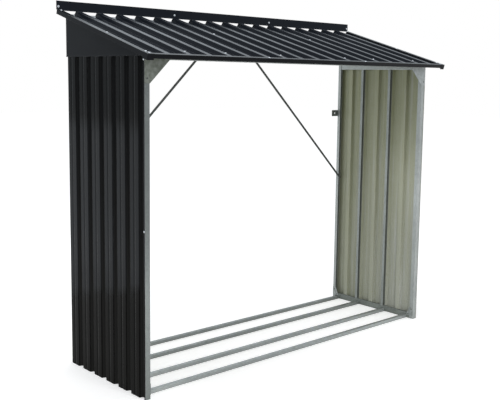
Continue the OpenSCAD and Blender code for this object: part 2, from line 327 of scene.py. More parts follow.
def make_weathered_coat():
    """Baked paint: slow changes of tone, rain streaks, splash dust and rubbed folds.

    The walls' outer faces can have painted shade at the foot and under the eaves, and painted light in the
    dust's colour in their grooves.
    """
    tree, given, out = new_group(
        "weathered_coat",
        ("Coat", "Faded", "Shade Tone", "Dust", "Rubbed"),
        ("Painted Shade", "Groove Light", "Dustiness", "Dust Reach", "Rub", "Gloss Spread"),
    )
    place = put(tree, "ShaderNodeTexCoord").outputs["Object"]
    parts = put(tree, "ShaderNodeSeparateXYZ", {0: place}).outputs
    drift = cloud(tree, place, *DRIFT_NOISE)
    speck = cloud(tree, place, *SPECK_NOISE)
    drawn_out = put(tree, "ShaderNodeMapping", {"Vector": place, "Scale": STREAK_SCALE}).outputs[0]
    streak = stretch(tree, cloud(tree, drawn_out, *STREAK_NOISE), *STREAK_RANGE)

    face = stretch(tree, work_out(tree, "ABSOLUTE", parts["X"]), *FACE_RANGE)
    level = stretch(tree, drift, *NOISE_RANGE, -LEVEL_DRIFT, LEVEL_DRIFT)
    level = work_out(tree, "ADD", parts["Z"], level)
    # Painted shade: darker at the foot of the walls' outer faces and under the eaves
    foot_shade_height = work_out(tree, "ADD", level, product(tree, parts["Y"], FOOT_SHADE_LEAN))
    foot = stretch(tree, foot_shade_height, *FOOT_SHADE_RANGE, 1.0, 0.0)
    top_shade = stretch(tree, level, *TOP_SHADE_RANGE, 0.0, TOP_SHADE_SHARE)
    painted_shade = product(tree, work_out(tree, "ADD", foot, top_shade), face, given["Painted Shade"])

    # Painted light: lighter grooves in the dust's colour, most of all low down
    groove_light = work_out(tree, "SUBTRACT", stretch(tree, level, *GROOVE_LIGHT_RANGE, 1.0, GROOVE_LIGHT_LEAST), face)
    groove_light = product(tree, work_out(tree, "MAXIMUM", groove_light, 0.0), given["Groove Light"])
    splash = stretch(tree, parts["Z"], SPLASH_LOW, given["Dust Reach"], 1.0, 0.0)
    splash = product(tree, splash, stretch(tree, speck, *NOISE_RANGE, SPLASH_LEAST, 1.0))
    dust = work_out(tree, "MULTIPLY_ADD", streak, STREAK_DUST, splash)
    fading = stretch(tree, parts["Y"], *REAR_RANGE, 1.0, REAR_DUST)
    dust = product(tree, dust, given["Dustiness"], fading)
    # From here the dust mask also carries the painted light in the grooves
    dust = work_out(tree, "MAXIMUM", dust, groove_light)

    fold = put(tree, "ShaderNodeAttribute", attribute_name="fold").outputs["Fac"]
    rub = stretch(tree, cloud(tree, place, *RUB_NOISE), *RUB_RANGE)
    rub = product(tree, fold, rub, given["Rub"])

    tone = blend_colours(tree, stretch(tree, drift, *NOISE_RANGE), given["Coat"], given["Faded"])
    # Painted shade: the darkest tone goes over the foot and the top of the walls
    tone = blend_colours(tree, painted_shade, tone, given["Shade Tone"])
    tone = blend_colours(tree, dust, tone, given["Dust"])
    tree.links.new(blend_colours(tree, rub, tone, given["Rubbed"]), out["Colour"])
    spread = stretch(tree, drift, *NOISE_RANGE, *DRIFT_GLOSS)
    spread = work_out(tree, "ADD", given["Gloss Spread"], spread)
    spread = work_out(tree, "ADD", spread, stretch(tree, dust, 0.0, 1.0, 0.0, DUST_GLOSS))
    tree.links.new(spread, out["Roughness"])
    bumps = product(tree, speck, SPECK_RISE)
    bumps = work_out(tree, "MULTIPLY_ADD", cloud(tree, place, *PEEL_NOISE), PEEL_RISE, bumps)
    tree.links.new(bumps, out["Height"])
    return tree


def make_zinc_spangle():
    """Hot-dip zinc: crystals of different tone, dull clouds and folds rubbed bright."""
    tree, given, out = new_group(
        "zinc_spangle", ("Zinc", "Dull", "Bright"), ("Crystal Scale", "Gloss Spread")
    )
    place = put(tree, "ShaderNodeTexCoord").outputs["Object"]
    warp = put(tree, "ShaderNodeTexNoise", {"Vector": place, "Scale": WARP_SCALE}).outputs["Color"]
    bent = {0: warp, "Scale": WARP_REACH}
    bent = put(tree, "ShaderNodeVectorMath", bent, operation="SCALE").outputs[0]
    moved = put(tree, "ShaderNodeVectorMath", {0: place, 1: bent}, operation="ADD").outputs[0]
    cells = put(tree, "ShaderNodeTexVoronoi", {"Vector": moved, "Scale": given["Crystal Scale"]})
    crystal = put(tree, "ShaderNodeSeparateColor", {0: cells.outputs["Color"]}).outputs[0]
    clouds = cloud(tree, place, *CLOUD_NOISE)

    mix = stretch(tree, clouds, *DULL_RANGE, 0.0, CLOUD_TONE)
    mix = work_out(tree, "MULTIPLY_ADD", crystal, CRYSTAL_TONE, mix)
    tone = blend_colours(tree, mix, given["Zinc"], given["Dull"])
    fold = put(tree, "ShaderNodeAttribute", attribute_name="fold").outputs["Fac"]
    shine = stretch(tree, cloud(tree, place, *SHINE_NOISE), *SHINE_RANGE, 0.0, SHINE_MOST)
    shine = product(tree, fold, shine)
    tree.links.new(blend_colours(tree, shine, tone, given["Bright"]), out["Colour"])
    spread = work_out(tree, "MULTIPLY_ADD", crystal, CRYSTAL_GLOSS, given["Gloss Spread"])
    spread = work_out(tree, "ADD", spread, stretch(tree, clouds, *NOISE_RANGE, *CLOUD_GLOSS))
    tree.links.new(spread, out["Roughness"])
    bumps = product(tree, cloud(tree, place, *GRIT_NOISE), GRIT_RISE)
    bumps = work_out(tree, "MULTIPLY_ADD", crystal, CRYSTAL_RISE, bumps)
    tree.links.new(bumps, out["Height"])
    return tree


WEATHERED_COAT = make_weathered_coat()
ZINC_SPANGLE = make_zinc_spangle()


def finish_of(name, group, inputs, metal, index, bump, bump_depth):
    """Material with one of the groups behind its colour, gloss and fine relief."""
    material = bpy.data.materials.new(name)
    material.use_nodes = True
    tree = material.node_tree
    shader = tree.nodes["Principled BSDF"]
    surface = put(tree, "ShaderNodeGroup", inputs, node_tree=group).outputs
    relief = {"Strength": bump, "Distance": bump_depth, "Height": surface["Height"]}
    relief = put(tree, "ShaderNodeBump", relief).outputs[0]
    tree.links.new(surface["Colour"], shader.inputs["Base Color"])
    tree.links.new(surface["Roughness"], shader.inputs["Roughness"])
    tree.links.new(relief, shader.inputs["Normal"])
    shader.inputs["Metallic"].default_value = metal
    shader.inputs["IOR"].default_value = index
    return material


def rgb(red, green, blue):
    """Colour with full alpha."""
    return (red, green, blue, 1.0)


def coat(
    name, tone, faded, dust, rubbed, dustiness, rub, spread, index,
    bump=COAT_BUMP, reach=DUST_REACH, shade_tone=None,
):
    """Painted finish. Given a shade tone, its outer faces get painted shade at the foot and the top, and
    its grooves get painted light.
    """
    inputs = {"Coat": tone, "Faded": faded, "Shade Tone": shade_tone or tone, "Dust": dust, "Rubbed": rubbed}
    if shade_tone:
        inputs.update({"Painted Shade": 1.0, "Groove Light": GROOVE_LIGHT})
    inputs.update({"Dustiness": dustiness, "Dust Reach": reach, "Rub": rub, "Gloss Spread": spread})
    return finish_of(name, WEATHERED_COAT, inputs, 0.0, index, bump, COAT_BUMP_DEPTH)


def zinc(name, tone, dull, bright, crystals=ZINC_CRYSTALS, spread=ZINC_SPREAD, metal=ZINC_METAL):
    """Bare zinc finish."""
    inputs = {"Zinc": tone, "Dull": dull, "Bright": bright}
    inputs.update({"Crystal Scale": crystals, "Gloss Spread": spread})
    return finish_of(name, ZINC_SPANGLE, inputs, metal, ZINC_INDEX, ZINC_BUMP, ZINC_BUMP_DEPTH)


RUBBED_PAINT = rgb(0.026, 0.028, 0.031)

# A coat's colours: its tone, its faded tone, its dust and its rubbed folds
# Its darkest tone is painted shade on the walls' outer faces
anthracite = coat(
    "anthracite_coat",
    rgb(0.0146, 0.0157, 0.0170), rgb(0.0168, 0.0179, 0.0192), rgb(0.040, 0.039, 0.036), RUBBED_PAINT,
    shade_tone=rgb(0.0026, 0.0026, 0.0020), dustiness=0.10, rub=0.28, spread=0.17, index=1.109, bump=0.03,
)
backing = coat(
    "backing_coat",
    rgb(0.25, 0.262, 0.152), rgb(0.284, 0.294, 0.192), rgb(0.425, 0.435, 0.418), rgb(0.40, 0.408, 0.35),
    dustiness=0.90, rub=0.30, spread=0.38, index=1.40, reach=1.75,
)
# Bluer than the walls' coat: painted reflection of the sky
roof_coat_painted_sky = coat(
    "roof_coat_painted_sky",
    rgb(0.0150, 0.0182, 0.0252), rgb(0.0172, 0.0204, 0.0274), rgb(0.040, 0.039, 0.038), RUBBED_PAINT,
    dustiness=0.10, rub=0.45, spread=0.17, index=1.13, bump=0.03,
)
trim_coat = coat(
    "trim_coat",
    rgb(0.0084, 0.0093, 0.0110), rgb(0.0104, 0.0113, 0.0130), rgb(0.036, 0.035, 0.033), RUBBED_PAINT,
    dustiness=0.07, rub=0.45, spread=0.17, index=1.125, bump=0.03,
)
strap_coat = coat(
    "strap_coat",
    rgb(0.074, 0.083, 0.08), rgb(0.088, 0.097, 0.093), rgb(0.105, 0.105, 0.097), rgb(0.11, 0.117, 0.114),
    dustiness=0.12, rub=0.40, spread=0.45, index=1.40,
)
seal_rubber = coat(
    "seal_rubber",
    rgb(0.012, 0.012, 0.013), rgb(0.018, 0.018, 0.019), rgb(0.06, 0.058, 0.054), rgb(0.03, 0.03, 0.031),
    dustiness=0.25, rub=0.3, spread=0.60, index=1.40, bump=0.2,
)

# A zinc's colours: the two tones of its crystals and its rubbed folds
galvanised = zinc(
    "galvanised_steel", rgb(0.270, 0.290, 0.278), rgb(0.210, 0.228, 0.217), rgb(0.380, 0.402, 0.395)
)
# Lighter copy of the galvanised steel: painted light
lit_zinc = zinc(
    "painted_light_galvanised_steel", rgb(0.352, 0.374, 0.364), rgb(0.282, 0.302, 0.294), rgb(0.450, 0.470, 0.465)
)
# Darker copy of the galvanised steel: painted shade
shaded_zinc = zinc(
    "painted_shade_galvanised_steel", rgb(0.190, 0.206, 0.199), rgb(0.148, 0.161, 0.155), rgb(0.270, 0.288, 0.282)
)
# Darker copy of the galvanised steel for a plate: painted shade
shaded_plate = zinc(
    "painted_shade_galvanised_plate", rgb(0.185, 0.202, 0.166), rgb(0.130, 0.144, 0.118), rgb(0.270, 0.285, 0.255),
    crystals=105.0, spread=0.46, metal=0.30,
)
# Darker copy of the galvanised steel on the sole rails: painted shade
shaded_sole_zinc = zinc(
    "painted_shade_sole_galvanised_steel", rgb(0.207, 0.226, 0.206), rgb(0.146, 0.161, 0.146), rgb(0.250, 0.266, 0.250),
    spread=0.50, metal=0.30,
)
# Darker zinc inside the channels: painted shade, with some dust
channel_shade = zinc(
    "shaded_and_dusty_channel_inside", rgb(0.168, 0.181, 0.156), rgb(0.118, 0.127, 0.109), rgb(0.210, 0.222, 0.200),
    spread=0.60, metal=0.10,
)
cut_edge = zinc(
    "cut_sheet_edge", rgb(0.200, 0.206, 0.210), rgb(0.120, 0.124, 0.128), rgb(0.300, 0.306, 0.310),
    crystals=400.0, spread=0.45, metal=0.6,
)
screw_zinc = zinc(
    "screw_zinc", rgb(0.710, 0.725, 0.750), rgb(0.560, 0.580, 0.605), rgb(0.790, 0.800, 0.815),
    crystals=700.0, spread=0.24, metal=0.85,
)

# Finishes of a strip's first face, its other face and its cut edges
OUTER_SKIN = (backing, anthracite, cut_edge)
ROOF_SKIN = (roof_coat_painted_sky, backing, cut_edge)
TRIM_SKIN = (trim_coat, backing, cut_edge)
FRAME_SKIN = (galvanised, channel_shade, galvanised)
# Lighter copy of the frame's skin: painted light
LIT_SKIN = (lit_zinc, channel_shade, lit_zinc)
# Darker copy of the frame's skin: painted shade
SHADED_SKIN = (shaded_zinc, channel_shade, shaded_zinc)
# Skin of the sole rails: painted shade
SOLE_SKIN = (shaded_sole_zinc, channel_shade, shaded_sole_zinc)


# Work on meshes


def deselect():
    """Leaves nothing selected."""
    bpy.ops.object.select_all(action="DESELECT")


def only(piece):
    """Leaves one piece selected and active."""
    deselect()
    piece.select_set(True)
    bpy.context.view_layer.objects.active = piece


def settle(piece):
    """Puts the piece's place, turn and size into its mesh."""
    only(piece)
    bpy.ops.object.transform_apply(location=True, rotation=True, scale=True)


def started(name, finishes):
    """The primitive that was just added, named and given its finishes."""
    piece = bpy.context.object
    piece.name = name
    piece.data.name = name
    for finish in finishes:
        piece.data.materials.append(finish)
    return piece


def linked(name, data):
    """New object in the scene."""
    made = bpy.data.objects.new(name, data)
    bpy.context.scene.collection.objects.link(made)
    return made


def edit():
    bpy.ops.object.mode_set(mode="EDIT")


def leave_edit():
    bpy.ops.object.mode_set(mode="OBJECT")


def pick(piece, kind, test):
    """Selects the vertices, edges or faces that pass a test, in edit mode."""
    bpy.ops.mesh.select_mode(type=kind)
    bpy.ops.mesh.select_all(action="DESELECT")
    mesh = bmesh.from_edit_mesh(piece.data)
    for item in {"VERT": mesh.verts, "EDGE": mesh.edges, "FACE": mesh.faces}[kind]:
        if test(item):
            item.select_set(True)
    mesh.select_flush_mode()
    bmesh.update_edit_mesh(piece.data)


def mark_folds(piece):
    """Marks the selected faces as part of a fold, for the finishes to rub."""
    mesh = bmesh.from_edit_mesh(piece.data)
    layer = mesh.faces.layers.float.get("fold") or mesh.faces.layers.float.new("fold")
    for face in mesh.faces:
        if face.select:
            face[layer] = 1.0
    bmesh.update_edit_mesh(piece.data)


def apply_modifier(piece, kind, **settings):
    """Adds a modifier and applies it."""
    only(piece)
    modifier = piece.modifiers.new(kind.lower(), kind)
    for key, value in settings.items():
        setattr(modifier, key, value)
    bpy.ops.object.modifier_apply(modifier=modifier.name)


def smooth(piece):
    """Rounds the shading over folds and keeps flats flat."""
    only(piece)
    bpy.ops.object.shade_smooth_by_angle(angle=SMOOTH_ANGLE)
    apply_modifier(piece, "WEIGHTED_NORMAL", keep_sharp=True)


def dress(piece, slot, *nodes):
    """Finishes a piece and lets it ride, in place of its nodes."""
    smooth(piece)
    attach(piece, "root")
    if nodes:
        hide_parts(*nodes)


def set_square(piece, across, up, origin):
    """Sets the piece's own X and Z along two directions of the store."""
    turn = Matrix((across, up.cross(across), up)).transposed().to_4x4()
    piece.matrix_world = Matrix.Translation(origin) @ turn
    settle(piece)


def fit(piece, slot, node, across, up, origin):
    """Sets a piece in its place and dresses it."""
    set_square(piece, across, up, origin)
    dress(piece, slot, node)


def along_run(edge):
    """True for an edge that follows a section's run."""
    way = edge.verts[1].co - edge.verts[0].co
    return abs(way.y) > RUN_RATIO * max(abs(way.x), abs(way.z))


SHEET_WAVES = bpy.data.textures.new("sheet_waves", "CLOUDS")
SHEET_WAVES.noise_scale = WAVE_SIZE
SHEET_WAVES.noise_depth = 1


def thicken(piece, thick):
    """Gives a folded face its thickness, with the second finish behind and the third on the rim."""
    apply_modifier(
        piece, "SOLIDIFY", thickness=thick, offset=-1.0, use_even_offset=True,
        material_offset=1, material_offset_rim=2,
    )


def folded(name, corners, length, finishes, gauge, cuts=0, waves=0.0, notch=None):
    """Strip folded through the corners of one face, with the metal on the right of the line.

    The corners are in the piece's own X and Z, and it runs from its origin along its own Y.
    A notch is a length at both ends and a test for the faces that are left out there.
    """
    thick, bend = gauge
    first, second = Vector(corners[0]), Vector(corners[1])
    flange = second - first
    middle = (first + second) / 2
    deselect()
    bpy.ops.mesh.primitive_plane_add(
        size=1,
        location=(middle.x, length / 2, middle.y),
        rotation=(0, -math.atan2(flange.y, flange.x), 0),
    )
    piece = started(name, finishes)
    piece.scale = (flange.length, length, 1)
    settle(piece)
    edit()
    pick(piece, "EDGE", lambda e: all((Vector((v.co.x, v.co.z)) - second).length < NEAR for v in e.verts))
    for here, there in zip(corners[1:], corners[2:]):
        step = (there[0] - here[0], 0, there[1] - here[1])
        bpy.ops.mesh.extrude_edges_move(TRANSFORM_OT_translate={"value": step})
    pick(piece, "EDGE", lambda e: along_run(e) and len(e.link_faces) == 2)
    bpy.ops.mesh.bevel(offset=bend, segments=BEND_STEPS, affect="EDGES", clamp_overlap=False)
    mark_folds(piece)
    if cuts:
        pick(piece, "EDGE", along_run)
        bpy.ops.mesh.subdivide(number_cuts=cuts)
    if notch:
        depth, left_out = notch
        for place in (depth, length - depth):
            bpy.ops.mesh.select_all(action="SELECT")
            bpy.ops.mesh.bisect(plane_co=(0, place, 0), plane_no=(0, 1, 0))

        def in_notch(face):
            centre = face.calc_center_median()
            return abs(centre.y - length / 2) > length / 2 - depth and left_out(centre)

        pick(piece, "FACE", in_notch)
        bpy.ops.mesh.delete(type="FACE")
    leave_edit()
    if waves:
        apply_modifier(
            piece, "DISPLACE", texture=SHEET_WAVES, texture_coords="LOCAL", direction="Z", strength=waves
        )
    thicken(piece, thick)
    return piece


def block(name, low, high, finishes):
    """Starts a plate from a cube between two corners, in edit mode."""
    low, high = Vector(low), Vector(high)
    deselect()
    bpy.ops.mesh.primitive_cube_add(size=1, location=(low + high) / 2)
    piece = started(name, finishes)
    piece.scale = high - low
    settle(piece)
    edit()
    return piece


def cut_away(co, no):
    """Cuts the whole mesh by a plane and drops the side that the normal points to."""
    bpy.ops.mesh.select_all(action="SELECT")
    bpy.ops.mesh.bisect(plane_co=co, plane_no=no, use_fill=True, clear_outer=True)


def round_edges(piece, test, size, steps):
    """Rounds the edges that pass a test and marks them as rubbed."""
    pick(piece, "EDGE", test)
    bpy.ops.mesh.bevel(offset=size, segments=steps, affect="EDGES")
    mark_folds(piece)


def parallel(axis):
    """Test for edges that follow an axis."""
    return lambda edge: abs((edge.verts[1].co - edge.verts[0].co).normalized()[axis]) > PARALLEL


def sharp_edge(edge):
    """True for an edge between two faces at a steep angle."""
    return len(edge.link_faces) == 2 and edge.calc_face_angle(0.0) > SHARP_ANGLE


def round_plate(plate, axis, corner, steps, ease):
    """Rounds a plate's corners, eases its edges and leaves edit mode."""
    round_edges(plate, parallel(axis), corner, steps)
    round_edges(plate, sharp_edge, ease, 1)
    leave_edit()


def take_out(piece, tool):
    """Cuts a tool's shape out of a piece and drops the tool."""
    apply_modifier(piece, "BOOLEAN", operation="DIFFERENCE", solver="EXACT", object=tool)
    bpy.data.objects.remove(tool)


def joined(name, pieces):
    """Joins pieces into the first one."""
    only(pieces[0])
    for piece in pieces[1:]:
        piece.select_set(True)
    bpy.ops.object.join()
    pieces[0].name = name
    return pieces[0]


# Ribbed sheets


def sheet_line(start, end, ribs, pitch, crease):
    """Corners of a ribbed sheet's rib side, from edge to edge."""

    def edge_rise(place):
        return RIB_H if min(abs(place - rib) for rib in ribs) < RIB_TOP / 2 else 0.0

    line = [(start, edge_rise(start) + SHEET_T)]
    for rib in ribs:
        for place, rise in (
            (rib - RIB_BASE / 2, 0.0),
            (rib - RIB_TOP / 2, RIB_H),
            (rib + RIB_TOP / 2, RIB_H),
            (rib + RIB_BASE / 2, 0.0),
            (rib + (pitch - CREASE_W) / 2, 0.0),
            (rib + (pitch - CREASE_FLAT) / 2, crease),
            (rib + (pitch + CREASE_FLAT) / 2, crease),
            (rib + (pitch + CREASE_W) / 2, 0.0),
        ):
            if start < place < end:
                line.append((place, rise + SHEET_T))
    line.append((end, edge_rise(end) + SHEET_T))
    return line


def lapped(line, rib, lift):
    """Carries a sheet's last edge over a joint's rib and down its far flank."""
    top = RIB_H + SHEET_T + lift
    shoulder = rib + RIB_TOP / 2 + lift * LAP_SPREAD
    end = (shoulder + LAP_DROP * FLANK_RUN, top - LAP_DROP)
    return line[:-2] + [(rib - RIB_TOP / 2, top), (shoulder, top), end]


def wall_panels():
    """Three ribbed sheets on each wall, lapped at the studs."""
    joints = [WALL_RIBS[rib] for rib in STUD_RIBS]
    spans = (
        ("front", -WALL_NOSE, joints[0]),
        ("middle", joints[0] - LAP_TUCK, joints[1]),
        ("rear", joints[1] - LAP_TUCK, None),
    )
    for side, way in SIDES:
        for part, start, joint in spans:
            line = sheet_line(start, joint or STORE_D, WALL_RIBS, WALL_PITCH, WALL_CREASE_H)
            if joint:
                line = lapped(line, joint, -LAP_RISE)
            node = f"{side}_{part}_wall_panel"
            sheet = folded(f"{node}_sheet", line, WALL_PANEL_H, OUTER_SKIN, SHEET, WALL_CUTS, WAVE_H)
            origin = Vector((way * WALL_X, FRONT_Y, WALL_PANEL_H if way > 0 else 0.0))
            fit(sheet, "ribbed_sheet", node, REARWARD, -ALONG * way, origin)


def roof_panels():
    """Three ribbed sheets side by side, lapped at a rib."""
    parts = ("left", "middle", "right")
    for index, part in enumerate(parts):
        first = ROOF_RIBS[index * PANEL_PITCHES]
        last = ROOF_RIBS[(index + 1) * PANEL_PITCHES]
        start = first - LAP_TUCK if index else first
        line = sheet_line(start, last, ROOF_RIBS, ROOF_PITCH, ROOF_CREASE_H)
        if part != parts[-1]:
            line = lapped(line, last, LAP_RISE)
        node = f"{part}_roof_panel"
        sheet = folded(f"{node}_sheet", line, ROOF_LEN, ROOF_SKIN, SHEET, ROOF_CUTS, WAVE_H)
        fit(sheet, "ribbed_sheet", node, ALONG, OFF_ROOF, EAVE)


def gable_panels():
    """Flat sheet between wall and roof on each side, with a drip at its foot."""
    top = roof_under(REAR_Y) + MM
    face = WALL_X + SHEET_T
    line = [(face, top), (face, WALL_H + GABLE_DRIP), (face + GABLE_KICK, WALL_H)]
    for side, way in SIDES:
        node = f"{side}_gable_panel"
        sheet = folded(f"{node}_sheet", line, STORE_D + WALL_NOSE, TRIM_SKIN, SHEET, GABLE_CUTS)
        start = FRONT_Y - WALL_NOSE if way > 0 else REAR_Y
        set_square(sheet, ALONG * way, UPWARD, REARWARD * start)
        only(sheet)
        edit()
        cut_away(EAVE, OFF_ROOF)
        leave_edit()
        dress(sheet, "ribbed_sheet", node)


# Folded trims


def verge_trims():
    outer = ROOF_X + SHEET_T
    low = LIP_TOP - VERGE_H
    inner = outer - HEM_T
    line = [(ROOF_X - VERGE_LIP, LIP_TOP), (outer, LIP_TOP), (outer, low)]
    line += [(inner, low), (inner, low + HEM)]
    for side, way in SIDES:
        node = f"{side}_verge_trim"
        trim = folded(f"{node}_fold", line, ROOF_LEN - FASCIA_LIP, TRIM_SKIN, TRIM, VERGE_CUTS)
        start = FASCIA_LIP if way > 0 else ROOF_LEN
        fit(trim, "folded_trim", node, ALONG * way, OFF_ROOF, on_roof(0, start, 0))


def front_fascia():
    half = ROOF_X - FASCIA_GAP
    face = -SHEET_T
    low = LIP_TOP - FASCIA_H
    line = [(FASCIA_FLANGE, low), (face, low), (face, LIP_TOP), (FASCIA_LIP, LIP_TOP)]
    trim = folded("front_fascia_fold", line, 2 * half, TRIM_SKIN, TRIM, LONG_TRIM_CUTS)
    fit(trim, "folded_trim", "front_fascia", UP_SLOPE, OFF_ROOF, on_roof(half, 0, 0))


def rear_flashing():
    """Upright strip along the top of the roof, on a foot that stops short of the verge trims."""
    half = ROOF_X + SHEET_T
    heel_y = ROOF_D / 2
    toe = on_roof(0, ROOF_LEN - FLASHING_FOOT, LIP_TOP)
    heel_z = toe.z + (heel_y - toe.y) * math.tan(SLOPE)
    low = on_roof(0, ROOF_LEN - FLASHING_FOOT, LIP_TOP - SHEET_T)
    base_z = low.z + (heel_y - low.y) * math.tan(SLOPE)
    top = base_z + FLASHING_H
    face = heel_y - SHEET_T
    back = face + HEM_T
    line = [(toe.y, toe.z), (face, heel_z - SHEET_T * math.tan(SLOPE)), (face, top)]
    line += [(back, top), (back, top - HEM)]

    def on_foot(centre):
        return centre.z < heel_z - SHEET_T and centre.x < face - SHEET_T

    notch = (SHEET_T + VERGE_LIP, on_foot)
    trim = folded("rear_flashing_fold", line, 2 * half, ROOF_SKIN, TRIM, LONG_TRIM_CUTS, notch=notch)
    fit(trim, "folded_trim", "rear_flashing", REARWARD, UPWARD, ALONG * half)


def corner_caps():
    """Cap over the corner where fascia and verge meet, open to the inside and below."""
    outer = ROOF_X + 2 * SHEET_T
    for side, way in SIDES:
        node = f"{side}_corner_cap"
        ends = sorted((way * outer, way * (outer - CAP_W)))
        low = (ends[0], -2 * SHEET_T, CAP_TOP - CAP_H)
        high = (ends[1], CAP_W - 2 * SHEET_T, CAP_TOP)
        cap = block(f"{node}_fold", low, high, TRIM_SKIN)
        pick(cap, "FACE", lambda f: max(-f.normal.x * way, f.normal.y, -f.normal.z) > FACING)
        bpy.ops.mesh.delete(type="FACE")
        round_edges(cap, sharp_edge, CAP_BEND, BEND_STEPS)
        leave_edit()
        thicken(cap, SHEET_T)
        fit(cap, "folded_trim", node, ALONG, OFF_ROOF, EAVE)


# Frame


def floor_rails():
    run = STORE_D - RAIL_FRONT_INSET - RAIL_REAR_INSET
    places = (0.0, (run - RAIL_MID_GAP) / 2, (run + RAIL_MID_GAP) / 2, run)
    half = RAIL_W / 2
    line = [(-half, 0.0), (-half, RAIL_H), (half, RAIL_H), (half, 0.0)]
    for part, place in zip(RAIL_NAMES, places):
        middle = FRONT_Y + RAIL_FRONT_INSET + place
        node = f"floor_rail_{part}"
        # The front rails take the lighter copy of the zinc: painted light
        skin = LIT_SKIN if part.startswith("front") else FRAME_SKIN
        rail = folded(f"{node}_channel", line, 2 * STUD_X, skin, RAIL_STEEL, FRAME_CUTS)
        fit(rail, "galvanised_frame", node, REARWARD, UPWARD, Vector((STUD_X, middle, 0)))


def wall_rails():
    # Painted shade on the sole rails, painted light on the top rails
    rows = (("sole", 0.0, SOLE_H, SOLE_SKIN), ("top", WALL_H - TOP_RAIL_H, WALL_H, LIT_SKIN))
    for part, low, high, skin in rows:
        line = [(CREST_X, low), (STUD_X, low), (STUD_X, high), (CREST_X, high)]
        for side, way in SIDES:
            node = f"{side}_{part}_rail"
            rail = folded(f"{node}_channel", line, STORE_D - 2 * POST_D, skin, STEEL)
            start = FRONT_Y + POST_D if way > 0 else REAR_Y - POST_D
            fit(rail, "galvanised_frame", node, ALONG * way, UPWARD, REARWARD * start)


def uprights():
    post = [(POST_X, FRONT_Y + POST_LIP), (POST_X, FRONT_Y)]
    post += [(STUD_X, FRONT_Y), (STUD_X, FRONT_Y + POST_D)]
    rows = [("front_post", post, 0.0, FRONT_POST_H)]

    def channel(front, short):
        rear = front + STUD_D
        return [(STUD_X, front + short), (STUD_X, rear), (CREST_X, rear), (CREST_X, front)]

    rows.append(("rear_post", channel(REAR_Y - POST_D, POST_SHORT), 0.0, REAR_POST_H))
    for part, rib in zip(("front", "rear"), STUD_RIBS):
        line = channel(FRONT_Y + WALL_RIBS[rib] - STUD_D / 2, STUD_SHORT)
        rows.append((f"{part}_stud", line, SOLE_H, WALL_H - TOP_RAIL_H))
    for part, line, low, high in rows:
        for side, way in SIDES:
            node = f"{side}_{part}"
            # Painted shade on the left front post, painted light on both right posts
            skin = SHADED_SKIN if node == "left_front_post" else FRAME_SKIN
            if node in ("right_front_post", "right_rear_post"):
                skin = LIT_SKIN
            upright = folded(f"{node}_section", line, high - low, skin, STEEL, FRAME_CUTS)
            start = high if way > 0 else low
            fit(upright, "galvanised_frame", node, ALONG * way, REARWARD, UPWARD * start)


def beams():
    rows = (
        ("front_beam", CREST_X, FRONT_Y, FRONT_POST_H),
        ("mid_purlin", WALL_X, MID_BEAM_Y, roof_under(MID_BEAM_Y) - BEAM_H),
        ("rear_beam", WALL_X, REAR_Y - POST_D, REAR_POST_H),
    )
    for node, half, front, low in rows:
        rear = front + POST_D
        line = [(rear, low), (front, low), (front, roof_under(front)), (rear, roof_under(rear))]
        beam = folded(f"{node}_section", line, 2 * half, FRAME_SKIN, STEEL, FRAME_CUTS)
        fit(beam, "galvanised_frame", node, REARWARD, UPWARD, ALONG * half)


# Plates, braces and brackets


def front_gussets():
    """Plate over each upper front corner, its inner edge cut at a slant."""
    low = GUSSET_TOP - GUSSET_H
    for side, way in SIDES:
        node = f"{side}_front_gusset"
        ends = sorted((way * POST_X, way * (POST_X - GUSSET_W)))
        # Painted shade on the left gusset, painted light on the right one
        finish = shaded_plate if way < 0 else lit_zinc
        corners = ((ends[0], FRONT_Y - PLATE_T, low), (ends[1], FRONT_Y, GUSSET_TOP))
        plate = block(f"{node}_plate", *corners, (finish,))
        heel = Vector((way * STUD_X, 0, low))
        reach = STUD_X - POST_X + GUSSET_W
        cut_away(heel, Vector((-way * (GUSSET_H - GUSSET_EDGE), 0, -reach)))
        round_plate(plate, 1, PLATE_CORNER, BEND_STEPS, PLATE_EASE)
        dress(plate, "galvanised_frame", node)


def foot_gussets():
    """Plates that tie each wall's posts to its sole rail, both in one piece."""
    low = RAIL_H + MM
    top = SOLE_H + FOOT_GUSSET_RISE
    for side, way in SIDES:
        plates = []
        xs = sorted((way * STUD_X, way * (STUD_X - PLATE_T)))
        for part, corner, inward in (("front", FRONT_Y, 1), ("rear", REAR_Y, -1)):
            ys = sorted((corner, corner + inward * FOOT_GUSSET_D))
            plate = block(
                f"{side}_{part}_foot_plate", (xs[0], ys[0], low), (xs[1], ys[1], top), (galvanised,)
            )
            shoulder = Vector((0, corner + inward * POST_D, top))
            cut_away(shoulder, Vector((0, inward * FOOT_GUSSET_RISE, FOOT_GUSSET_D - POST_D)))
            round_plate(plate, 0, PLATE_CORNER, BEND_STEPS, PLATE_EASE)
            plates.append(plate)
        node = f"{side}_foot_gussets"
        dress(joined(f"{node}_plates", plates), "galvanised_frame", node)


def brace_ends():
    """Upper and lower fixing of the right brace, in X and Z."""
    upper = Vector((BRACE_GAP / 2, REAR_POST_H + BEAM_H / 3))
    lower = Vector((STUD_X + STUD_W / 2, BRACE_LOW))
    return upper, lower


def braces():
    upper, lower = brace_ends()
    reach = (lower - upper).length
    lean = math.atan2(upper.y - lower.y, lower.x - upper.x)
    for side, way in SIDES:
        node = f"{side}_brace"
        corners = ((-BRACE_END, 0, -BRACE_W / 2), (reach + BRACE_END, PLATE_T, BRACE_W / 2))
        bar = block(f"{node}_strap", *corners, (strap_coat,))
        round_plate(bar, 1, BRACE_CORNER, BRACE_CORNER_STEPS, STRAP_EASE)
        across = Vector((way * math.cos(lean), 0, -math.sin(lean)))
        origin = Vector((way * upper.x, REAR_Y - POST_D - PLATE_T, upper.y))
        fit(bar, "dark_strap", node, across, across.cross(REARWARD), origin)


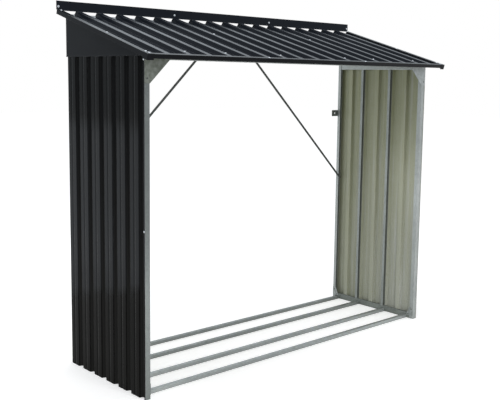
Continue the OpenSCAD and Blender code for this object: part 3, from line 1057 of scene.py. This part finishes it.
def wall_brackets():
    inner = STUD_X - BRACKET_REACH
    for side, way in SIDES:
        node = f"{side}_wall_bracket"
        ends = sorted((way * inner, way * CREST_X))
        low = (ends[0], REAR_Y, BRACKET_Z - BRACKET_H / 2)
        high = (ends[1], REAR_Y + PLATE_T, BRACKET_Z + BRACKET_H / 2)
        # The brackets take the darker copy of the zinc: painted shade
        plate = block(f"{node}_plate", low, high, (shaded_zinc,))
        round_edges(plate, parallel(1), BRACKET_CORNER, BEND_STEPS)
        leave_edit()
        deselect()
        bpy.ops.mesh.primitive_cylinder_add(
            vertices=HOLE_SIDES,
            radius=BRACKET_HOLE_D / 2,
            depth=4 * PLATE_T,
            location=(way * (inner + BRACKET_REACH / 2), REAR_Y + PLATE_T / 2, BRACKET_Z),
            rotation=(math.pi / 2, 0, 0),
        )
        take_out(plate, bpy.context.object)
        only(plate)
        edit()
        round_edges(plate, sharp_edge, STRAP_EASE, 1)
        leave_edit()
        dress(plate, "dark_strap", node)


# Screws


# Parts of the screws: bottom, top, sides, easing of the upper rim and its steps
SEAL = (0.0, 1.2 * MM, 20, 0.4 * MM, 1)
SEALED_WASHER = (1.0 * MM, 2.4 * MM, 20, 1.1 * MM, 2)
FLANGE = (2.2 * MM, 3.2 * MM, 16, 0.5 * MM, 1)
HEX_HEAD = (2.9 * MM, 6.4 * MM, 6, 0.7 * MM, 2)
PLAIN_WASHER = (0.0, 0.9 * MM, 18, 0.4 * MM, 1)

# Shares of a seal's or a head's radius, and of a domed head's height
WASHER_SHARE = 0.96
FLANGE_SHARE = 1.3
PAN_RISE = 0.62
PAN_DOME = 0.5
CROSS_LENGTH = 1.05
CROSS_WIDTH = 0.24
CROSS_FLOOR = 0.45
CROSS_TOP = 1.5
PAN_SIDES = 18
PAN_DOME_STEPS = 3

# Radii of the screws' seals, heads and washers
SEALED_R = (7 * MM, 4.2 * MM)
BROAD_R = (5.2 * MM, 6.6 * MM)
CROSSED_R = (4.4 * MM, 5.4 * MM)
PLAIN_R = 4.2 * MM


def disc(name, part, radius, finish):
    """Round or six-sided part of a screw, its upper rim eased."""
    low, high, sides, chamfer, steps = part
    deselect()
    bpy.ops.mesh.primitive_cylinder_add(
        vertices=sides, radius=radius, depth=high - low, location=(0, 0, (low + high) / 2)
    )
    piece = started(name, (finish,))
    settle(piece)
    edit()
    round_edges(piece, lambda e: all(v.co.z > high - NEAR for v in e.verts), chamfer, steps)
    leave_edit()
    return piece


def hex_screw(name, seal_r, head_r, finish):
    """Six-sided screw on a domed washer with a rubber seal, standing on its origin."""
    seal = disc("seal", SEAL, seal_r, seal_rubber)
    washer = disc("washer", SEALED_WASHER, seal_r * WASHER_SHARE, finish)
    flange = disc("flange", FLANGE, head_r * FLANGE_SHARE, finish)
    head = disc("head", HEX_HEAD, head_r, finish)
    return joined(name, [washer, flange, head, seal])


def pan_screw(name, finish, head_r, washer_r=0.0):
    """Domed screw with a cross in its head, standing on its origin."""
    high = head_r * PAN_RISE
    head = disc("head", (0.0, high, PAN_SIDES, head_r * PAN_DOME, PAN_DOME_STEPS), head_r, finish)
    arms = []
    for length, width in ((CROSS_LENGTH, CROSS_WIDTH), (CROSS_WIDTH, CROSS_LENGTH)):
        across = length * head_r / 2
        along = width * head_r / 2
        arms.append(
            block("arm", (-across, -along, high * CROSS_FLOOR), (across, along, high * CROSS_TOP), ())
        )
        leave_edit()
    for arm in arms:
        take_out(head, arm)
    if not washer_r:
        head.name = name
        return head
    washer = disc("washer", PLAIN_WASHER, washer_r, finish)
    return joined(name, [head, washer])


def set_screws(name, master, places, slot):
    """Copies a screw to each place and joins the copies into one piece."""
    made = []
    for point, way in places:
        copy = linked(name, master.data.copy())
        turn = UPWARD.rotation_difference(Vector(way)).to_matrix().to_4x4()
        copy.matrix_world = Matrix.Translation(point) @ turn
        settle(copy)
        made.append(copy)
    piece = joined(name, made)
    piece.data.name = name
    dress(piece, slot)


# Places of the screws
FRONT_ROW_RUN = 0.066
FRONT_ROW_RIBS = (2, 4, 7, 11, 13, 16)
JOINT_RIBS = (6, 12)
MID_ROW_RUN = (MID_BEAM_Y + POST_D / 2 - EAVE_Y) / math.cos(SLOPE)
VERGE_SCREW_INSET = 0.021
VERGE_SCREW_X = ROOF_X - VERGE_SCREW_INSET
VERGE_SCREW_RUNS = (0.050, 0.414, 0.907)
CAP_SCREW_RUN = 0.020
FLASHING_SCREW_Z = 2.056
FLASHING_SCREW_X = (-1.194, -0.400, 0.400, 1.194)
WALL_SCREW_INSET = 0.0042
WALL_SCREW_Z = (0.893, 1.762)
GUSSET_FOOT_RISE = 0.0255
GUSSET_HEAD_DROP = 0.012
GUSSET_TIP_INSET = 0.022
GUSSET_TIP_DROP = 0.008
FOOT_SCREW_DROP = 0.016
SOLE_SCREW_INSET = 0.012
SOLE_SCREW_DROP = 0.009
BRACKET_SCREW_SHARE = 0.3


def roof_screws(master):
    rib_top = RIB_H + SHEET_T
    places = [(on_roof(ROOF_RIBS[rib], FRONT_ROW_RUN, rib_top), OFF_ROOF) for rib in FRONT_ROW_RIBS]
    for rib in JOINT_RIBS:
        places.append((on_roof(ROOF_RIBS[rib], MID_ROW_RUN, rib_top + LAP_RISE), OFF_ROOF))
    set_screws("roof_screws", master, places, "galvanised_frame")


def trim_screws(master):
    places = []
    for _, way in SIDES:
        for run in VERGE_SCREW_RUNS:
            places.append((on_roof(way * VERGE_SCREW_X, run, LIP_TOP), OFF_ROOF))
        places.append((on_roof(way * VERGE_SCREW_X, CAP_SCREW_RUN, CAP_TOP), OFF_ROOF))
    for rib in JOINT_RIBS:
        places.append((on_roof(ROOF_RIBS[rib], FASCIA_LIP / 2, LIP_TOP), OFF_ROOF))
    for x in FLASHING_SCREW_X:
        places.append((Vector((x, ROOF_D / 2 - SHEET_T, FLASHING_SCREW_Z)), -REARWARD))
    set_screws("trim_screws", master, places, "galvanised_frame")


def wall_screws(master):
    y = FRONT_Y + WALL_SCREW_INSET
    for side, way in SIDES:
        places = [(Vector((way * WALL_X, y, z)), ALONG * way) for z in WALL_SCREW_Z]
        set_screws(f"{side}_wall_screws", master, places, "galvanised_frame")


def frame_screws(master):
    upper, lower = brace_ends()
    gusset_y = FRONT_Y - PLATE_T
    foot_x = STUD_X - PLATE_T
    gusset_places = (
        (POST_X - POST_W / 2, GUSSET_TOP - GUSSET_H + GUSSET_FOOT_RISE),
        (POST_X - POST_W / 2, GUSSET_TOP - GUSSET_HEAD_DROP),
        (POST_X - GUSSET_W + GUSSET_TIP_INSET, GUSSET_TOP - GUSSET_TIP_DROP),
    )
    foot_places = (
        (POST_D / 2, SOLE_H + FOOT_GUSSET_RISE - FOOT_SCREW_DROP),
        (POST_D + SOLE_SCREW_INSET, SOLE_H - SOLE_SCREW_DROP),
    )
    for side, way in SIDES:
        places = []
        for x, z in gusset_places:
            places.append((Vector((way * x, gusset_y, z)), -REARWARD))
        for corner, inward in ((FRONT_Y, 1), (REAR_Y, -1)):
            for y, z in foot_places:
                places.append((Vector((way * foot_x, corner + inward * y, z)), -ALONG * way))
        for end in (upper, lower):
            places.append((Vector((way * end.x, REAR_Y - POST_D - PLATE_T, end.y)), -REARWARD))
        for lift in (-BRACKET_SCREW_SHARE, BRACKET_SCREW_SHARE):
            z = BRACKET_Z + lift * BRACKET_H
            places.append((Vector((way * (STUD_X + STUD_W / 2), REAR_Y + PLATE_T, z)), REARWARD))
        set_screws(f"{side}_frame_screws", master, places, "galvanised_frame")


# Build


wall_panels()
roof_panels()
gable_panels()
verge_trims()
front_fascia()
rear_flashing()
corner_caps()
floor_rails()
wall_rails()
uprights()
beams()
front_gussets()
foot_gussets()
braces()
wall_brackets()

sealed = hex_screw("sealed_screw_master", *SEALED_R, screw_zinc)
roof_screws(sealed)
broad = pan_screw("broad_screw_master", screw_zinc, *BROAD_R)
trim_screws(broad)
crossed = pan_screw("cross_screw_master", screw_zinc, *CROSSED_R)
wall_screws(crossed)
plain = pan_screw("plain_screw_master", strap_coat, PLAIN_R)
frame_screws(plain)
for master in (sealed, broad, crossed, plain):
    bpy.data.objects.remove(master)


# Floor, light and camera


# The floor's own tones, and what it adds to be white to the rays that see it
FLOOR_SIZE = 60
FLOOR_TONES = (rgb(0.86, 0.86, 0.86), rgb(0.88, 0.88, 0.88))
FLOOR_ROUGHNESS = 0.9
FLOOR_LIFT = 0.42

# The world as a lamp, and as paint mirrors it: bearings and strengths, each from and to
WORLD_TINT = rgb(0.97, 0.985, 1.0)
WORLD_STRENGTH = 0.74
SHEEN_TINT = rgb(0.865, 0.94, 1.0)
SHEEN_RISE = (0.25, 0.62, 1.14, 1.52)
SHEEN_DIP = (0.62, 0.93, 0.0, 0.74)
SHEEN_RETURN = (0.93, 1.50, 0.0, 0.36)


def white_for_sight(tree):
    """Masks of the rays that see the background: the camera's and passing ones, and mirrored ones."""
    rays = put(tree, "ShaderNodeLightPath").outputs
    seen = work_out(tree, "MAXIMUM", rays["Is Camera Ray"], rays["Is Transmission Ray"])
    return seen, rays["Is Glossy Ray"]


def light_world():
    """White to the camera, soft light to the object and a sheen of its own to mirrored rays."""
    world = bpy.data.worlds.new("studio")
    bpy.context.scene.world = world
    world.use_nodes = True
    tree = world.node_tree
    tree.nodes.clear()

    def shown(tint, strength):
        return put(tree, "ShaderNodeBackground", {"Color": tint, "Strength": strength}).outputs[0]

    way = put(tree, "ShaderNodeTexCoord").outputs["Generated"]
    way = put(tree, "ShaderNodeSeparateXYZ", {0: way}).outputs
    bearing = work_out(tree, "ARCTAN2", way["X"], way["Y"])
    gloss = stretch(tree, bearing, *SHEEN_RISE)
    gloss = work_out(tree, "SUBTRACT", gloss, stretch(tree, bearing, *SHEEN_DIP))
    gloss = work_out(tree, "ADD", gloss, stretch(tree, bearing, *SHEEN_RETURN))
    lamp = shown(WORLD_TINT, WORLD_STRENGTH)
    sheen = shown(SHEEN_TINT, gloss)
    white = shown(rgb(1, 1, 1), 1.0)
    seen, mirrored = white_for_sight(tree)
    both = put(tree, "ShaderNodeMixShader", {0: mirrored, 1: lamp, 2: sheen}).outputs[0]
    both = put(tree, "ShaderNodeMixShader", {0: seen, 1: both, 2: white}).outputs[0]
    put(tree, "ShaderNodeOutputWorld", {"Surface": both})


def lay_floor():
    """Pale floor that keeps the store's shadow."""
    deselect()
    bpy.ops.mesh.primitive_plane_add(size=FLOOR_SIZE)
    floor = bpy.context.object
    floor.name = "studio_floor"
    material = bpy.data.materials.new("pale_floor")
    material.use_nodes = True
    tree = material.node_tree
    shader = tree.nodes["Principled BSDF"]
    place = put(tree, "ShaderNodeTexCoord").outputs["Object"]
    tone = blend_colours(tree, cloud(tree, place, *FLOOR_NOISE), *FLOOR_TONES)
    tree.links.new(tone, shader.inputs["Base Color"])
    shader.inputs["Roughness"].default_value = FLOOR_ROUGHNESS
    shader.inputs["Specular IOR Level"].default_value = 0.0
    lift = product(tree, work_out(tree, "MAXIMUM", *white_for_sight(tree)), FLOOR_LIFT)
    glow = put(tree, "ShaderNodeEmission", {"Strength": lift})
    both = put(tree, "ShaderNodeAddShader", {0: shader.outputs[0], 1: glow.outputs[0]})
    tree.links.new(both.outputs[0], tree.nodes["Material Output"].inputs["Surface"])
    floor.data.materials.append(material)


def hang_lamp(name, place, target, size, power, glossy=False, tint=(1.0, 1.0, 1.0), spread=180):
    """Soft lamp that faces a target. Its spread is in degrees."""
    data = bpy.data.lights.new(name, "AREA")
    data.shape = "RECTANGLE"
    data.size, data.size_y = size
    data.energy = power
    data.color = tint
    data.spread = math.radians(spread)
    lamp = linked(name, data)
    lamp.location = place
    lamp.rotation_euler = (Vector(target) - Vector(place)).to_track_quat("-Z", "Y").to_euler()
    lamp.visible_camera = False
    lamp.visible_glossy = glossy


# The photo's camera
IMAGE_W = 500
SENSOR_W = 36.0
CLIP_END = 200.0
FOCAL_PX = 813.331
AXIS_RIGHT_PX = 16.24
AXIS_UP_PX = 19.634
CAMERA_PLACE = Vector((-3.45438, -3.72878, 1.67657))
CAMERA_YAW = 0.74524
CAMERA_PITCH = -0.12470
CAMERA_ROLL = 0.01505


def set_camera():
    data = bpy.data.cameras.new("photo_camera")
    data.sensor_fit = "HORIZONTAL"
    data.sensor_width = SENSOR_W
    data.lens = FOCAL_PX / IMAGE_W * SENSOR_W
    data.shift_x = -AXIS_RIGHT_PX / IMAGE_W
    data.shift_y = -AXIS_UP_PX / IMAGE_W
    data.clip_end = CLIP_END
    camera = linked("photo_camera", data)
    turn = Matrix.Rotation(-CAMERA_YAW, 4, "Z") @ Matrix.Rotation(math.pi / 2 + CAMERA_PITCH, 4, "X")
    turn = turn @ Matrix.Rotation(CAMERA_ROLL, 4, "Z")
    camera.matrix_world = Matrix.Translation(CAMERA_PLACE) @ turn
    bpy.context.scene.camera = camera


light_world()
lay_floor()
hang_lamp(
    "soft_overhead", place=(0.0, 1.0, 5.5), target=(0.0, 0.0, 1.0), size=(6.0, 6.0), power=80.0, glossy=True
)
hang_lamp("soft_rear", place=(-1.5, 4.6, 1.0), target=(1.1, 0.0, 0.6), size=(2.0, 1.6), power=29.6)
hang_lamp(
    "soft_right", place=(3.4, -2.2, 0.7), target=(1.13, -0.33, 0.7), size=(1.2, 1.4), power=5.4, glossy=True
)
hang_lamp(
    "low_fill", place=(0.2, -1.6, 0.3), target=(1.12, -0.15, 0.15), size=(0.6, 0.4), power=1.4, spread=70
)
hang_lamp(
    "post_fill", place=(-0.96, -1.38, 0.42), target=(-1.13, -0.33, 0.42), size=(0.2, 0.6), power=1.5,
    spread=60,
)
hang_lamp(
    "bay_fill", place=(-0.10, -0.75, 0.96), target=(1.13, -0.31, 0.98), size=(0.3, 0.5), power=0.26,
    spread=36,
)
hang_lamp(
    "side_panel", place=(-2.4, 2.1, 0.66), target=(-1.15, 2.1, 0.66), size=(1.5, 1.25), power=7.6,
    glossy=True, tint=(0.84, 0.93, 1.0),
)
set_camera()
bpy.context.scene.view_settings.view_transform = "Standard"
